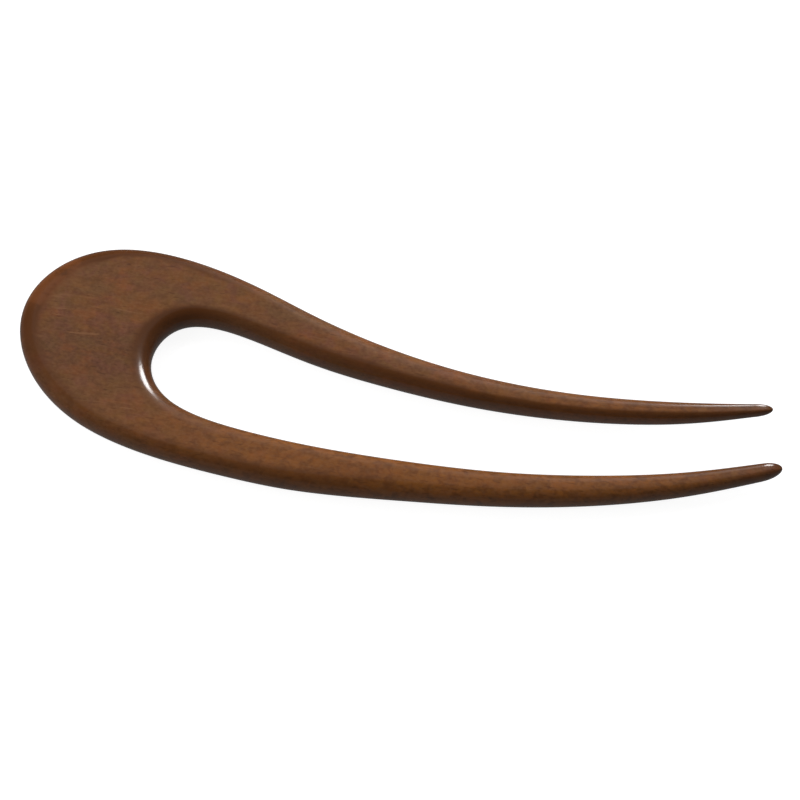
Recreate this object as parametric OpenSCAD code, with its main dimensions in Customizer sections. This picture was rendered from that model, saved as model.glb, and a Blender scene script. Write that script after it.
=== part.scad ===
// U-shaped hair fork, carved from one piece of board: a broad head that splits into two prongs.
// The fork curves in its own plane, its long edges are rounded over, and its prongs taper to round tips.
// Millimetres, +Z up. It lies on its back face, with the head at -X and the prong tips at +X.
// The origin is under the middle of the bounding box, on the surface that the fork lies on.

/* [Fork] */
// Length of the fork, from the back of its head to the tip of the longer prong
fork_len = 152.6; // [130:0.1:180]
// Thickness of the board, which the head and the roots of the prongs keep
board_t = 6.4; // [5:0.1:8]

/* [Tips] */
// Length of the rounded end of the upper prong, which is the finer one
upper_end_l = 4.0; // [2:0.1:5]
// Length of the rounded end of the lower prong, which is the blunter one
lower_end_l = 4.5; // [2:0.1:6]

/* [Smoothness] */
// Longest step from one cross-section to the next, along the outer edge
step_l = 2.8; // [2.2:0.2:5]
// Cross-sections in each rounded end
end_steps = 5; // [3:1:6]
// Points round each cross-section
ring_points = 28; // [16:4:32]

/* [Hidden] */
WOOD = [0.36, 0.20, 0.11];

// Cuts across the wood, from the tip of the upper prong round the head to the tip of the lower one.
// Two smooth curves drawn along the cuts are the plan's edges: the outer edge and the slot's edge.
CUTS = [
    // outer x and y, slot x and y, thickness, width of the rounding at the outer edge and at the slot
    [ 68.2,   9.7,  68.8,   7.4, 2.3, 1.2, 1.2], // tip of the upper prong
    [ 55.5,   7.5,  55.0,   3.2, 4.4, 2.3, 2.1],
    [ 35.5,   5.4,  36.0,   0.7, 5.4, 2.8, 2.1],
    [ 16.0,   5.9,  17.0,   0.2, 6.2, 3.6, 2.7],
    [ -1.5,   8.8,  -0.5,   1.6, 6.4, 4.4, 2.9],
    [-20.0,  14.0, -18.5,   4.1, 6.4, 4.0, 3.3],
    [-37.0,  21.5, -34.0,   9.2, 6.4, 3.5, 3.4], // root of the upper prong
    [-65.5,  25.5, -46.0,  10.0, 6.4, 3.6, 4.2],
    [-82.0,   6.0, -51.2,  -0.5, 6.4, 4.6, 4.4], // back of the head
    [-66.4, -18.5, -45.5, -10.0, 6.4, 4.6, 6.4],
    [-29.0, -23.0, -31.0, -13.0, 6.4, 2.0, 4.0], // root of the lower prong
    [-14.0, -23.6, -14.0, -14.5, 6.4, 3.1, 3.2],
    [  5.0, -22.0,   4.5, -14.5, 6.4, 3.7, 3.2],
    [ 21.5, -20.5,  22.0, -14.0, 6.2, 3.4, 3.0],
    [ 40.0, -17.4,  40.0, -11.5, 5.6, 3.0, 2.8],
    [ 58.0, -12.4,  57.0,  -8.0, 4.6, 2.3, 2.2],
    [ 72.0,  -6.4,  71.5,  -3.1, 3.4, 1.7, 1.7]  // tip of the lower prong
];
// The table is drawn for a fork of this length and thickness, and other sizes are scaled from it
CUTS_LEN = 152.6;
CUTS_T = 6.4;
// Middle of the table's plan, which is put over the origin
CUTS_MIDDLE = [-0.35, -0.14];

function in_plan(p) = (p - CUTS_MIDDLE) * fork_len / CUTS_LEN;
function outer_edge(cut) = in_plan([cut[0], cut[1]]);
function slot_edge(cut) = in_plan([cut[2], cut[3]]);
function thickness(cut) = cut[4] * board_t / CUTS_T;
function outer_rounding(cut) = cut[5] * board_t / CUTS_T;
function slot_rounding(cut) = cut[6] * board_t / CUTS_T;
function middle(cut) = (outer_edge(cut) + slot_edge(cut)) / 2;

// Rows of the table with one more before and after, so that the curves start and end on its ends
function led_in(rows) =
    let (n = len(rows))
    concat([2 * rows[0] - rows[1]], rows, [2 * rows[n - 1] - rows[n - 2]]);

// A cubic spline: four neighbouring rows share each cut between them, by how far along it lies
function row_shares(t) =
    [pow(1 - t, 3), 3 * pow(t, 3) - 6 * t * t + 4, -3 * pow(t, 3) + 3 * t * t + 3 * t + 1, pow(t, 3)] / 6;
function cut_between(rows, i, t) =
    let (share = row_shares(t))
    share[0] * rows[i] + share[1] * rows[i + 1] + share[2] * rows[i + 2] + share[3] * rows[i + 3];

// Points round the cross-section at a cut: two rounded edges, with a flat face above and below between
// them. Where the wood is narrower than its two roundings, they meet. Shrink makes the whole section
// smaller, and shift moves it in the plan.
function ring(cut, shrink = 1, shift = [0, 0]) =
    let (span = slot_edge(cut) - outer_edge(cut),
         half_w = norm(span) / 2,
         half_t = thickness(cut) / 2,
         fit = min(1, 2 * half_w / (outer_rounding(cut) + slot_rounding(cut))),
         reach = cos(180 / ring_points))
    [for (k = [0 : ring_points - 1])
        let (a = 360 * (k + 0.5) / ring_points,
             edge_w = fit * (cos(a) > 0 ? slot_rounding(cut) : outer_rounding(cut)),
             out = sign(cos(a)) * (half_w - edge_w) + edge_w * cos(a) / reach,
             p = middle(cut) + shift + shrink * out * span / norm(span))
        [p.x, p.y, board_t / 2 + shrink * half_t * sin(a) / reach]];

// A prong's rounded end, from its last cut outwards along the prong, nearly to a point
END_TURN = 84;
function end_rings(cut, next_cut, end_l) =
    let (run = middle(cut) - middle(next_cut))
    [for (i = [1 : end_steps])
        let (a = END_TURN * i / end_steps)
        ring(cut, cos(a), end_l * sin(a) * run / norm(run))];

function reversed(list) = [for (i = [len(list) - 1 : -1 : 0]) list[i]];

module hair_fork() {
    rows = led_in(CUTS);
    end = len(CUTS) - 1;
    body_rings = [for (i = [0 : end - 1])
        let (steps = ceil(norm(outer_edge(CUTS[i + 1]) - outer_edge(CUTS[i])) / step_l))
        for (s = [0 : steps - 1]) ring(cut_between(rows, i, s / steps))];
    upper_rings = reversed(end_rings(CUTS[0], CUTS[1], upper_end_l));
    lower_rings = end_rings(CUTS[end], CUTS[end - 1], lower_end_l);
    rings = concat(upper_rings, body_rings, [ring(CUTS[end])], lower_rings);

    n = ring_points;
    last = len(rings) - 1;
    side_faces = [for (i = [0 : last - 1], k = [0 : n - 1])
        let (next = (k + 1) % n)
        [i * n + k, (i + 1) * n + k, (i + 1) * n + next, i * n + next]];
    end_faces = [[for (k = [0 : n - 1]) k], [for (k = [n - 1 : -1 : 0]) last * n + k]];
    color(WOOD)
        polyhedron(points = [for (r = rings) each r], faces = concat(side_faces, end_faces));
}

hair_fork();
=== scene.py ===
"""A carved wooden hair fork, lying on a pale table in soft studio light. Metres, +Z up."""

from collections import namedtuple
import math

import bmesh
import bpy
from mathutils import Matrix, Vector


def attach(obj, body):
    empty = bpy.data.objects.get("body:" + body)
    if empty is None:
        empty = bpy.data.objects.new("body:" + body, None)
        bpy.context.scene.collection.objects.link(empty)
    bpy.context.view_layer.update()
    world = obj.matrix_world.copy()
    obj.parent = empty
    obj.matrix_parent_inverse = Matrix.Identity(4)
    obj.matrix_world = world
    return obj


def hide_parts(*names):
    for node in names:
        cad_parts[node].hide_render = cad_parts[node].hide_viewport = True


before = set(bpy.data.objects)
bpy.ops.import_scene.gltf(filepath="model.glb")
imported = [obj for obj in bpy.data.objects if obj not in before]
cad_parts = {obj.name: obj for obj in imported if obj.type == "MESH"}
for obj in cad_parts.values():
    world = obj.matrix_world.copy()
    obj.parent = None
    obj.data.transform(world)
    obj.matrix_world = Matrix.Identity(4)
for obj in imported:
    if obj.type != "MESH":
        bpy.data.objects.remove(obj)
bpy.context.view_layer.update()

MM = 0.001

Cut = namedtuple("Cut", "outer_x outer_y slot_x slot_y thickness outer_rounding slot_rounding "
                        "outer_stain slot_stain warmth")
Finish = namedtuple("Finish", "warmth outer_stain slot_stain from_outer from_slot")

# The fork's shape, in millimetres as in the CAD source. Each row is a cut across the wood, from the
# tip of the upper prong round the head to the tip of the lower one. Its last columns are the finish:
# how dark its two edges are, partly a darker stain and partly painted shade on walls that face away
# from the light, where more than 1 widens the dark band, and how red the wood is.
BOARD_T = 6.4
CUTS_MIDDLE = Vector((-0.35, -0.14))
CUTS = [Cut(*row) for row in [
    # outer x, y, slot x, y, thickness, outer and slot rounding, outer and slot stain with painted shade,
    # warmth
    (68.2, 9.7, 68.8, 7.4, 2.3, 1.2, 1.2, 0.8, 0.7, 0.3),  # tip of the upper prong
    (55.5, 7.5, 55.0, 3.2, 4.4, 2.3, 2.1, 0.4, 0.8, 0.9),
    (35.5, 5.4, 36.0, 0.7, 5.4, 2.8, 2.1, 0.0, 0.7, 0.8),
    (16.0, 5.9, 17.0, 0.2, 6.2, 3.6, 2.7, 0.0, 0.7, 0.6),
    (-1.5, 8.8, -0.5, 1.6, 6.4, 4.4, 2.9, 0.0, 0.9, 0.3),
    (-20.0, 14.0, -18.5, 4.1, 6.4, 4.0, 3.3, 0.0, 0.6, 0.1),
    (-37.0, 21.5, -34.0, 9.2, 6.4, 3.5, 3.4, 0.2, 0.5, 0.1),  # root of the upper prong
    (-65.5, 25.5, -46.0, 10.0, 6.4, 3.6, 4.2, 1.9, 1.4, 0.2),
    (-82.0, 6.0, -51.2, -0.5, 6.4, 4.6, 4.4, 1.1, 0.75, 0.1),  # back of the head
    (-66.4, -18.5, -45.5, -10.0, 6.4, 4.6, 6.4, 0.1, 0.3, 0.2),
    (-29.0, -23.0, -31.0, -13.0, 6.4, 2.0, 4.0, 0.5, 0.0, 0.9),  # root of the lower prong
    (-14.0, -23.6, -14.0, -14.5, 6.4, 3.1, 3.2, 0.7, 0.0, 1.0),
    (5.0, -22.0, 4.5, -14.5, 6.4, 3.7, 3.2, 0.0, 0.0, 1.0),
    (21.5, -20.5, 22.0, -14.0, 6.2, 3.4, 3.0, 0.0, 0.0, 1.0),
    (40.0, -17.4, 40.0, -11.5, 5.6, 3.0, 2.8, 0.0, 0.0, 1.0),
    (58.0, -12.4, 57.0, -8.0, 4.6, 2.3, 2.2, 0.0, 0.4, 1.0),
    (72.0, -6.4, 71.5, -3.1, 3.4, 1.7, 1.7, 0.4, 0.9, 0.2),  # tip of the lower prong
]]
UPPER_END_L = 4.0
LOWER_END_L = 4.5
END_TURN = math.radians(84)  # a rounded end stops just short of a point

# How finely the fork's skin is drawn, and how full its edges are, in millimetres
STEP_L = 2.8
END_RINGS = 7
RING_POINTS = 36
FLAT_POINTS = 2  # of a quarter ring's steps, how many lie on the flat face
FACE_INSET = 1.2  # how far in from its rim the flat face has one more point
LEAST_FLAT = 0.8
FULLNESS = 2.5  # 2 is a half round edge, and a higher number a squarer one
SMOOTH_LEVELS = 2

# Marks in the wood, in metres
HEART = Vector((-61, -2, 6)) * MM  # a darker patch in the middle of the head
HEART_REACH = Vector((22, 9, 12)) * MM
RUB = Vector((-73, 14, 5)) * MM  # where the dark finish is rubbed off the head's rim
RUB_REACH = Vector((10, 10, 10)) * MM
FIBRE_RELIEF = 0.05 * MM

# The table
TABLE_REACH = 4.0
TABLE_GAP = 0.05 * MM
TABLE_GREY = 0.35
TABLE_GLOW = 0.9

# The room's greys, by the height of a direction: 0 straight down, 0.5 at the horizon, 1 straight up
SOFT_ROOM = ((0.0, 0.06), (0.5, 0.1), (0.52, 0.2), (1.0, 0.2))
MIRRORED_ROOM = ((0.0, 0.2), (0.49, 0.17), (0.52, 0.09), (0.65, 0.05), (1.0, 0.03))

# The camera
CAMERA_AZIMUTH = math.radians(9.74)
CAMERA_ELEVATION = math.radians(62.24)
CAMERA_DISTANCE = 1.0
CAMERA_AIM = Vector((0.49, -0.65, BOARD_T / 2)) * MM
CAMERA_SENSOR = 36.0  # millimetres, as is its lens
CAMERA_LENS = 230.0

# Which of the Mix node's sockets are the ones for colours
MIX_FACTOR, MIX_A, MIX_B = 0, 6, 7
MIX_RESULT = 2


def outer_edge(cut):
    return Vector((cut.outer_x, cut.outer_y))


def slot_edge(cut):
    return Vector((cut.slot_x, cut.slot_y))


def middle(cut):
    return (outer_edge(cut) + slot_edge(cut)) / 2 - CUTS_MIDDLE


def row_shares(t):
    """How much each of four neighbouring rows counts, at t of the way between the middle two."""
    return [(1 - t) ** 3 / 6, (3 * t ** 3 - 6 * t * t + 4) / 6,
            (-3 * t ** 3 + 3 * t * t + 3 * t + 1) / 6, t ** 3 / 6]


def cut_between(rows, i, t):
    """The cut at t of the way between the middle two of four rows, on a smooth curve along the table."""
    shares = row_shares(t)
    columns = zip(*rows[i:i + len(shares)])
    return Cut(*[sum(share * number for share, number in zip(shares, column)) for column in columns])


def row_beyond(row, inner_row):
    """The row that lies as far beyond a row as the inner one lies before it."""
    return Cut(*[2 * number - inner for number, inner in zip(row, inner_row)])


def add_section(bm, finish, cut, shrink=1.0, shift=Vector((0, 0))):
    """A closed ring round the wood at one cut: flat above and below, rounded at its two edges."""
    span = slot_edge(cut) - outer_edge(cut)
    across = span.normalized()
    half_w = shrink * span.length / 2
    half_t = shrink * cut.thickness / 2
    fit = shrink * min(1.0, (span.length - LEAST_FLAT) / (cut.outer_rounding + cut.slot_rounding))
    outer_rim = fit * cut.outer_rounding - half_w
    slot_rim = half_w - fit * cut.slot_rounding
    flat = slot_rim - outer_rim
    # How far in from its rim the flat face's points lie, from its middle outwards
    insets = (flat / 2, min(FACE_INSET, flat / 4), 0)
    centre = middle(cut) + shift
    ring = bmesh.ops.create_circle(bm, segments=RING_POINTS, radius=1.0)["verts"]
    for v in ring:
        side, rim = (1, slot_rim) if v.co.x > 0 else (-1, outer_rim)
        # Steps run from the middle of the flat face to its rim, and then round the edge
        steps = round(math.atan2(abs(v.co.x), abs(v.co.y)) / (2 * math.pi / RING_POINTS))
        turn = math.pi / 2 * max(0, steps - FLAT_POINTS) / (RING_POINTS / 4 - FLAT_POINTS)
        inset = insets[min(steps, FLAT_POINTS)]
        reach = abs(side * half_w - rim) * math.sin(turn) ** (2 / FULLNESS)
        x = rim + side * (reach - inset)
        z = math.copysign(half_t * math.cos(turn) ** (2 / FULLNESS), v.co.y)
        place = centre + across * x
        v[finish.warmth] = cut.warmth
        v[finish.outer_stain] = cut.outer_stain
        v[finish.slot_stain] = cut.slot_stain
        v[finish.from_outer] = (half_w + x) / (fit * cut.outer_rounding)
        v[finish.from_slot] = (half_w - x) / (fit * cut.slot_rounding)
        v.co = Vector((place.x, place.y, BOARD_T / 2 + z)) * MM
    return ring


def add_end(bm, finish, cut, inner_cut, end_l):
    """The rings of a prong's rounded end, from its last cut outwards."""
    run = (middle(cut) - middle(inner_cut)).normalized()
    turns = [END_TURN * (k + 1) / END_RINGS for k in range(END_RINGS)]
    return [add_section(bm, finish, cut, math.cos(a), run * end_l * math.sin(a)) for a in turns]


def ring_edges(ring):
    return list({edge for v in ring for edge in v.link_edges})


def build_fork():
    """The whole fork as one closed skin, lofted over its cuts from tip to tip."""
    rows = [row_beyond(CUTS[0], CUTS[1])] + CUTS + [row_beyond(CUTS[-1], CUTS[-2])]
    cuts = []
    for i in range(len(CUTS) - 1):
        run = (outer_edge(CUTS[i + 1]) - outer_edge(CUTS[i])).length
        steps = math.ceil(run / STEP_L)
        cuts += [cut_between(rows, i, s / steps) for s in range(steps)]
    cuts.append(CUTS[-1])

    bm = bmesh.new()
    finish = Finish(*[bm.verts.layers.float.new(name) for name in Finish._fields])
    rings = add_end(bm, finish, cuts[0], CUTS[1], UPPER_END_L)[::-1]
    rings += [add_section(bm, finish, cut) for cut in cuts]
    rings += add_end(bm, finish, cuts[-1], CUTS[-2], LOWER_END_L)
    bands = [ring_edges(ring) for ring in rings]
    for band, next_band in zip(bands, bands[1:]):
        bmesh.ops.bridge_loops(bm, edges=band + next_band)
    bmesh.ops.holes_fill(bm, edges=bands[0] + bands[-1], sides=RING_POINTS)
    bmesh.ops.recalc_face_normals(bm, faces=bm.faces)

    mesh = bpy.data.meshes.new("carved_fork")
    bm.to_mesh(mesh)
    bm.free()
    mesh.shade_smooth()
    piece = bpy.data.objects.new("carved_fork", mesh)
    bpy.context.scene.collection.objects.link(piece)
    smooth = piece.modifiers.new("smooth", "SUBSURF")
    smooth.levels = smooth.render_levels = SMOOTH_LEVELS
    return piece


def new_material(name):
    material = bpy.data.materials.new(name)
    material.use_nodes = True
    return material, material.node_tree.nodes["Principled BSDF"]


def link(tree, source, target):
    tree.links.new(source, target)


def attribute(tree, name):
    node = tree.nodes.new("ShaderNodeAttribute")
    node.attribute_name = name
    return node.outputs["Fac"]


def soft_spot(tree, centre, reach):
    """1 at the centre, falling to 0 at its reach along each axis."""
    where = tree.nodes.new("ShaderNodeTexCoord")
    place = tree.nodes.new("ShaderNodeMapping")
    place.vector_type = "TEXTURE"
    place.inputs["Location"].default_value = centre
    place.inputs["Scale"].default_value = reach
    ball = tree.nodes.new("ShaderNodeTexGradient")
    ball.gradient_type = "SPHERICAL"
    link(tree, where.outputs["Object"], place.inputs["Vector"])
    link(tree, place.outputs["Vector"], ball.inputs["Vector"])
    return ball.outputs["Fac"]


def grain(tree, along, across, detail, roughness=0.5, distortion=0.0):
    """Noise with so many grains to a metre along the fork, and so many across it."""
    where = tree.nodes.new("ShaderNodeTexCoord")
    stretch = tree.nodes.new("ShaderNodeMapping")
    stretch.inputs["Scale"].default_value = (along, across, across)
    noise = tree.nodes.new("ShaderNodeTexNoise")
    noise.inputs["Scale"].default_value = 1.0
    noise.inputs["Detail"].default_value = detail
    noise.inputs["Roughness"].default_value = roughness
    noise.inputs["Distortion"].default_value = distortion
    link(tree, where.outputs["Object"], stretch.inputs["Vector"])
    link(tree, stretch.outputs["Vector"], noise.inputs["Vector"])
    return noise.outputs["Fac"]


def spread(tree, value, old, new=(0.0, 1.0), steps="SMOOTHSTEP"):
    """The value, with its old range stretched over the new one."""
    node = tree.nodes.new("ShaderNodeMapRange")
    node.interpolation_type = steps
    node.inputs["From Min"].default_value, node.inputs["From Max"].default_value = old
    node.inputs["To Min"].default_value, node.inputs["To Max"].default_value = new
    link(tree, value, node.inputs["Value"])
    return node.outputs["Result"]


def mixed(tree, factor, a, b):
    """Two colours mixed by a factor. Each colour is a socket or has its own numbers."""
    node = tree.nodes.new("ShaderNodeMix")
    node.data_type = "RGBA"
    link(tree, factor, node.inputs[MIX_FACTOR])
    for place, colour in ((MIX_A, a), (MIX_B, b)):
        if isinstance(colour, bpy.types.NodeSocket):
            link(tree, colour, node.inputs[place])
        else:
            node.inputs[place].default_value = colour
    return node.outputs[MIX_RESULT]


def tinted(tree, colour, tint, pattern, low, high, at_low=0.0, at_high=0.0):
    """The colour with a tint over it: at_low of it where the pattern is low, at_high where it is high."""
    return mixed(tree, spread(tree, pattern, (low, high), (at_low, at_high)), colour, tint)


def calculated(tree, a, operation, b):
    node = tree.nodes.new("ShaderNodeMath")
    node.operation = operation
    link(tree, a, node.inputs[0])
    link(tree, b, node.inputs[1])
    return node.outputs["Value"]


def rim_stain_and_shade(tree, edge, wander, full, gone):
    """How dark one edge is, in a band along its rounding that wanders a little: partly a darker finish,
    and partly painted shade on the walls that face away from the light, most of all in the slot.

    Where it is full and where it is gone are shares of the rounding's width. It is thin on the edge.
    """
    inset = calculated(tree, attribute(tree, "from_" + edge), "ADD", wander)
    edge_share = spread(tree, inset, (-0.3, 0.4))
    face_share = spread(tree, inset, (full, gone), (1.0, 0.0))
    band = calculated(tree, edge_share, "MULTIPLY", face_share)
    return calculated(tree, attribute(tree, edge + "_stain"), "MULTIPLY", band)


def wood():
    """Fine-pored brown hardwood under a satin lacquer, its grain along X, its rims and tips darker:
    partly a darker finish, partly painted shade on the walls that face away from the light.
    """
    material, shader = new_material("wood")
    tree = material.node_tree
    umber = (0.149, 0.063, 0.027, 1)
    russet = (0.262, 0.085, 0.0134, 1)
    dusk = (0.108, 0.046, 0.022, 1)
    olive = (0.124, 0.068, 0.028, 1)
    rust = (0.218, 0.066, 0.022, 1)
    honey = (0.168, 0.075, 0.019, 1)
    plum = (0.142, 0.052, 0.036, 1)
    tan = (0.235, 0.104, 0.046, 1)
    dark = (0.062, 0.023, 0.008, 1)
    # The rims' dark colour: a darker finish, and also painted shade on the walls that face away from the
    # light
    burnt_and_shade = (0.092, 0.030, 0.008, 1)
    rubbed = (0.142, 0.046, 0.014, 1)

    warmth = attribute(tree, "warmth")
    patches = grain(tree, along=60, across=160, detail=2.0)
    colour = tinted(tree, umber, russet, patches, 0.4, 0.7, at_high=0.45)
    heart = soft_spot(tree, HEART, HEART_REACH)
    colour = tinted(tree, colour, dusk, heart, 0.0, 0.7, at_high=1.0)
    hues = grain(tree, along=200, across=280, detail=3.0, roughness=0.6)
    colour = tinted(tree, colour, olive, hues, 0.50, 0.66, at_high=0.5)
    colour = tinted(tree, colour, rust, hues, 0.34, 0.50, at_low=0.6)
    bloom = grain(tree, along=260, across=300, detail=3.0, roughness=0.6, distortion=0.5)
    colour = tinted(tree, colour, honey, bloom, 0.50, 0.66, at_high=0.45)
    colour = tinted(tree, colour, plum, bloom, 0.34, 0.50, at_low=0.6)
    colour = mixed(tree, spread(tree, warmth, (0.0, 1.0), (0.0, 0.7), "LINEAR"), colour, russet)
    blotches = grain(tree, along=380, across=460, detail=3.0, roughness=0.6)
    colour = tinted(tree, colour, dark, blotches, 0.36, 0.66, at_high=0.2)
    curls = grain(tree, along=520, across=700, detail=2.0, distortion=0.5)
    figured = spread(tree, warmth, (0.0, 1.0), (0.5, 1.0), "LINEAR")
    curl = calculated(tree, spread(tree, curls, (0.42, 0.66), (0.0, 0.45)), "MULTIPLY", figured)
    colour = mixed(tree, curl, colour, dark)
    fibres = grain(tree, along=140, across=1100, detail=3.0, roughness=0.6)
    colour = tinted(tree, colour, dark, fibres, 0.35, 0.7, at_high=0.18)
    mottle = grain(tree, along=1300, across=1700, detail=2.0)
    colour = tinted(tree, colour, tan, mottle, 0.35, 0.7, at_high=0.27)
    gleams = grain(tree, along=55, across=420, detail=1.0, distortion=1.5)
    colour = tinted(tree, colour, tan, gleams, 0.70, 0.76, at_high=0.5)
    pores = grain(tree, along=520, across=3200, detail=1.0)
    colour = tinted(tree, colour, dark, pores, 0.62, 0.76, at_high=0.5)

    drift = grain(tree, along=120, across=120, detail=2.0)
    wander = spread(tree, drift, (0.3, 0.7), (-0.12, 0.12), "LINEAR")
    worn = spread(tree, soft_spot(tree, RUB, RUB_REACH), (0.0, 0.4))
    rub = calculated(tree, worn, "MULTIPLY", spread(tree, hues, (0.36, 0.54)))
    # The dark band on each edge: a darker finish and painted shade on the walls facing away from the
    # light, rubbed lighter on the head's rim
    stain = mixed(tree, rub, burnt_and_shade, rubbed)
    for edge, full, gone in (("outer", 0.7, 1.25), ("slot", 0.6, 1.05)):
        colour = mixed(tree, rim_stain_and_shade(tree, edge, wander, full, gone), colour, stain)
    link(tree, colour, shader.inputs["Base Color"])

    shader.inputs["Roughness"].default_value = 0.5
    shader.inputs["Specular IOR Level"].default_value = 0.0
    shader.inputs["Coat Weight"].default_value = 1.0
    shader.inputs["Coat Roughness"].default_value = 0.17
    bump = tree.nodes.new("ShaderNodeBump")
    bump.inputs["Strength"].default_value = 0.3
    bump.inputs["Distance"].default_value = FIBRE_RELIEF
    link(tree, fibres, bump.inputs["Height"])
    link(tree, bump.outputs["Normal"], shader.inputs["Normal"])
    return material


def pale_table():
    """A matt pale finish that glows a little, so that it looks evenly lit."""
    material, shader = new_material("pale_table")
    shader.inputs["Base Color"].default_value = (TABLE_GREY, TABLE_GREY, TABLE_GREY, 1)
    shader.inputs["Roughness"].default_value = 0.9
    shader.inputs["Specular IOR Level"].default_value = 0.0
    shader.inputs["Emission Color"].default_value = (1, 1, 1, 1)
    shader.inputs["Emission Strength"].default_value = TABLE_GLOW
    return material


def table_top():
    """A large table just under the fork, whose own light doesn't reach it."""
    bm = bmesh.new()
    bmesh.ops.create_grid(bm, x_segments=1, y_segments=1, size=TABLE_REACH)
    bmesh.ops.translate(bm, verts=bm.verts, vec=(0, 0, -TABLE_GAP))
    mesh = bpy.data.meshes.new("table_top")
    bm.to_mesh(mesh)
    bm.free()
    mesh.materials.append(pale_table())
    table = bpy.data.objects.new("table_top", mesh)
    bpy.context.scene.collection.objects.link(table)
    table.visible_diffuse = False
    table.visible_glossy = False


def aimed(location, aim):
    """A turn and place that look from the location to the aim."""
    turn = (Vector(aim) - Vector(location)).to_track_quat("-Z", "Y")
    return Matrix.LocRotScale(Vector(location), turn, None)


def add_lamp(name, direction, distance, radius, watts, lights=True, gleams=True):
    """A round lamp over the table, which may give only soft light, or only its reflection."""
    lamp = bpy.data.lights.new(name, "AREA")
    lamp.shape = "DISK"
    lamp.size = 2 * radius
    lamp.energy = watts
    lit = bpy.data.objects.new(name, lamp)
    bpy.context.scene.collection.objects.link(lit)
    lit.matrix_world = aimed(Vector(direction).normalized() * distance, (0, 0, 0))
    lit.visible_diffuse = lights
    lit.visible_glossy = gleams


def greys(tree, height, stops):
    """A grey by height. Each stop is a height and its grey."""
    ramp = tree.nodes.new("ShaderNodeValToRGB")
    elements = ramp.color_ramp.elements
    elements[0].position, elements[1].position = stops[0][0], stops[-1][0]
    for position, _ in stops[1:-1]:
        elements.new(position)
    for element, (_, grey) in zip(elements, stops):
        element.color = (grey, grey, grey, 1)
    link(tree, height, ramp.inputs["Fac"])
    return ramp.outputs["Color"]


def room_light():
    """Even light from all round, in a room that looks dim from above in the lacquer."""
    world = bpy.data.worlds.new("studio")
    world.use_nodes = True
    bpy.context.scene.world = world
    tree = world.node_tree
    where = tree.nodes.new("ShaderNodeTexCoord")
    split = tree.nodes.new("ShaderNodeSeparateXYZ")
    link(tree, where.outputs["Generated"], split.inputs["Vector"])
    height = spread(tree, split.outputs["Z"], (-1.0, 1.0), steps="LINEAR")
    path = tree.nodes.new("ShaderNodeLightPath")
    light = mixed(tree, path.outputs["Is Glossy Ray"], greys(tree, height, SOFT_ROOM),
                  greys(tree, height, MIRRORED_ROOM))
    link(tree, light, tree.nodes["Background"].inputs["Color"])


def add_camera():
    """Seen from the front, a little from the right, and well above the table."""
    level = math.cos(CAMERA_ELEVATION)
    back = Vector((math.sin(CAMERA_AZIMUTH) * level, -math.cos(CAMERA_AZIMUTH) * level,
                   math.sin(CAMERA_ELEVATION)))
    camera = bpy.data.cameras.new("camera")
    camera.sensor_width = CAMERA_SENSOR
    camera.lens = CAMERA_LENS
    camera.clip_start, camera.clip_end = 0.05, 20.0
    eye = bpy.data.objects.new("camera", camera)
    bpy.context.scene.collection.objects.link(eye)
    eye.matrix_world = aimed(CAMERA_AIM + back * CAMERA_DISTANCE, CAMERA_AIM)
    bpy.context.scene.camera = eye


fork = build_fork()
fork.data.materials.append(wood())
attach(fork, "root")
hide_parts("hair_fork")

table_top()
room_light()
add_lamp("streak", (0.26, 0.725, 0.638), distance=0.8, radius=0.127, watts=4.1, lights=False)
add_lamp("rim_sheen", (0.12, 0.78, 0.61), distance=1.0, radius=0.35, watts=0.32, lights=False)
add_lamp("back_low", (0.0, 0.98, 0.21), distance=1.0, radius=0.3, watts=9.0, gleams=False)
add_lamp("back_right", (0.35, 0.61, 0.71), distance=1.0, radius=0.3, watts=2.5, gleams=False)
add_lamp("back_left", (-0.55, 0.45, 0.71), distance=1.0, radius=0.3, watts=2.8, gleams=False)
add_lamp("left_fill", (-0.9, -0.2, 0.45), distance=1.0, radius=0.5, watts=4.8, gleams=False)
add_lamp("overhead", (-0.08, 0.47, 0.88), distance=1.0, radius=0.5, watts=0.5, lights=False)
add_camera()
bpy.context.scene.view_settings.view_transform = "Standard"
